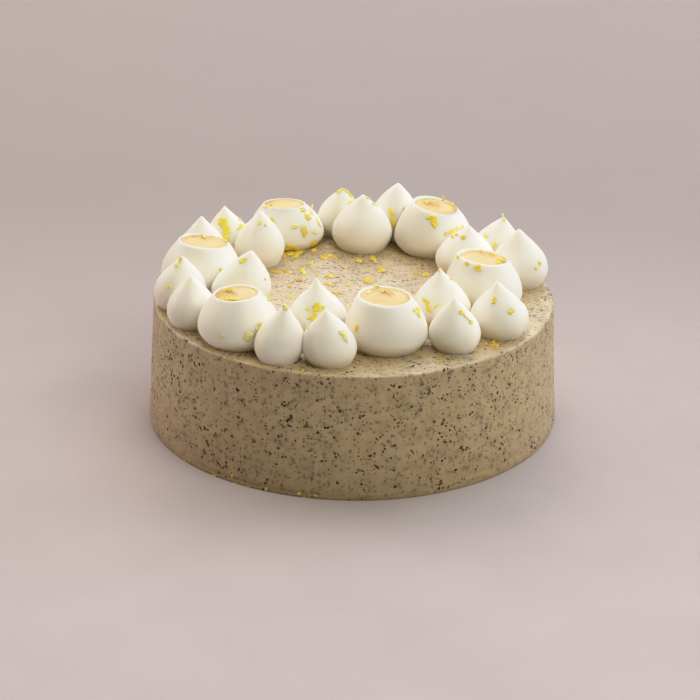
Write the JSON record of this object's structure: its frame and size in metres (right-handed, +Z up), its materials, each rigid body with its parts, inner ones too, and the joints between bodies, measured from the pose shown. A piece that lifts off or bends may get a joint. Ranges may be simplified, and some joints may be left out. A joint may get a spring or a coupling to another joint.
{
  "type": "lemon earl grey cake",
  "caption": "Round cake in tea-flecked buttercream, ringed on top with curd-filled dollops and pointed kisses of piped cream, scattered with lemon zest.",
  "frame": {"origin": "middle of the cake's flat foot, on the surface that it stands on", "axes": "+Z up out of the cake's top, +X to the right and -Y to the front of the shown side"},
  "size_m": [0.2076, 0.2076, 0.0927],
  "materials": {
    "buttercream": "smooth scraped buttercream with fine dark flecks of tea",
    "cream": "soft satin piped cream with shreds of lemon zest on it",
    "curd": "soft glossy lemon curd"
  },
  "bodies": {
    "root": {"cake": "buttercream", "filled_dollop_1": "cream", "kiss_1_outer_a": "cream", "kiss_1_outer_b": "cream", "kiss_1_inner": "cream", "filled_dollop_2": "cream", "kiss_2_outer_a": "cream", "kiss_2_outer_b": "cream", "kiss_2_inner": "cream", "filled_dollop_3": "cream", "kiss_3_outer_a": "cream", "kiss_3_outer_b": "cream", "kiss_3_inner": "cream", "filled_dollop_4": "cream", "kiss_4_outer_a": "cream", "kiss_4_outer_b": "cream", "kiss_4_inner": "cream", "filled_dollop_5": "cream", "kiss_5_outer_a": "cream", "kiss_5_outer_b": "cream", "kiss_5_inner": "cream", "filled_dollop_6": "cream", "kiss_6_outer_a": "cream", "kiss_6_outer_b": "cream", "kiss_6_inner": "cream", "lemon_curd_1": "curd", "lemon_curd_2": "curd", "lemon_curd_3": "curd", "lemon_curd_4": "curd", "lemon_curd_5": "curd", "lemon_curd_6": "curd"}
  },
  "joints": []
}
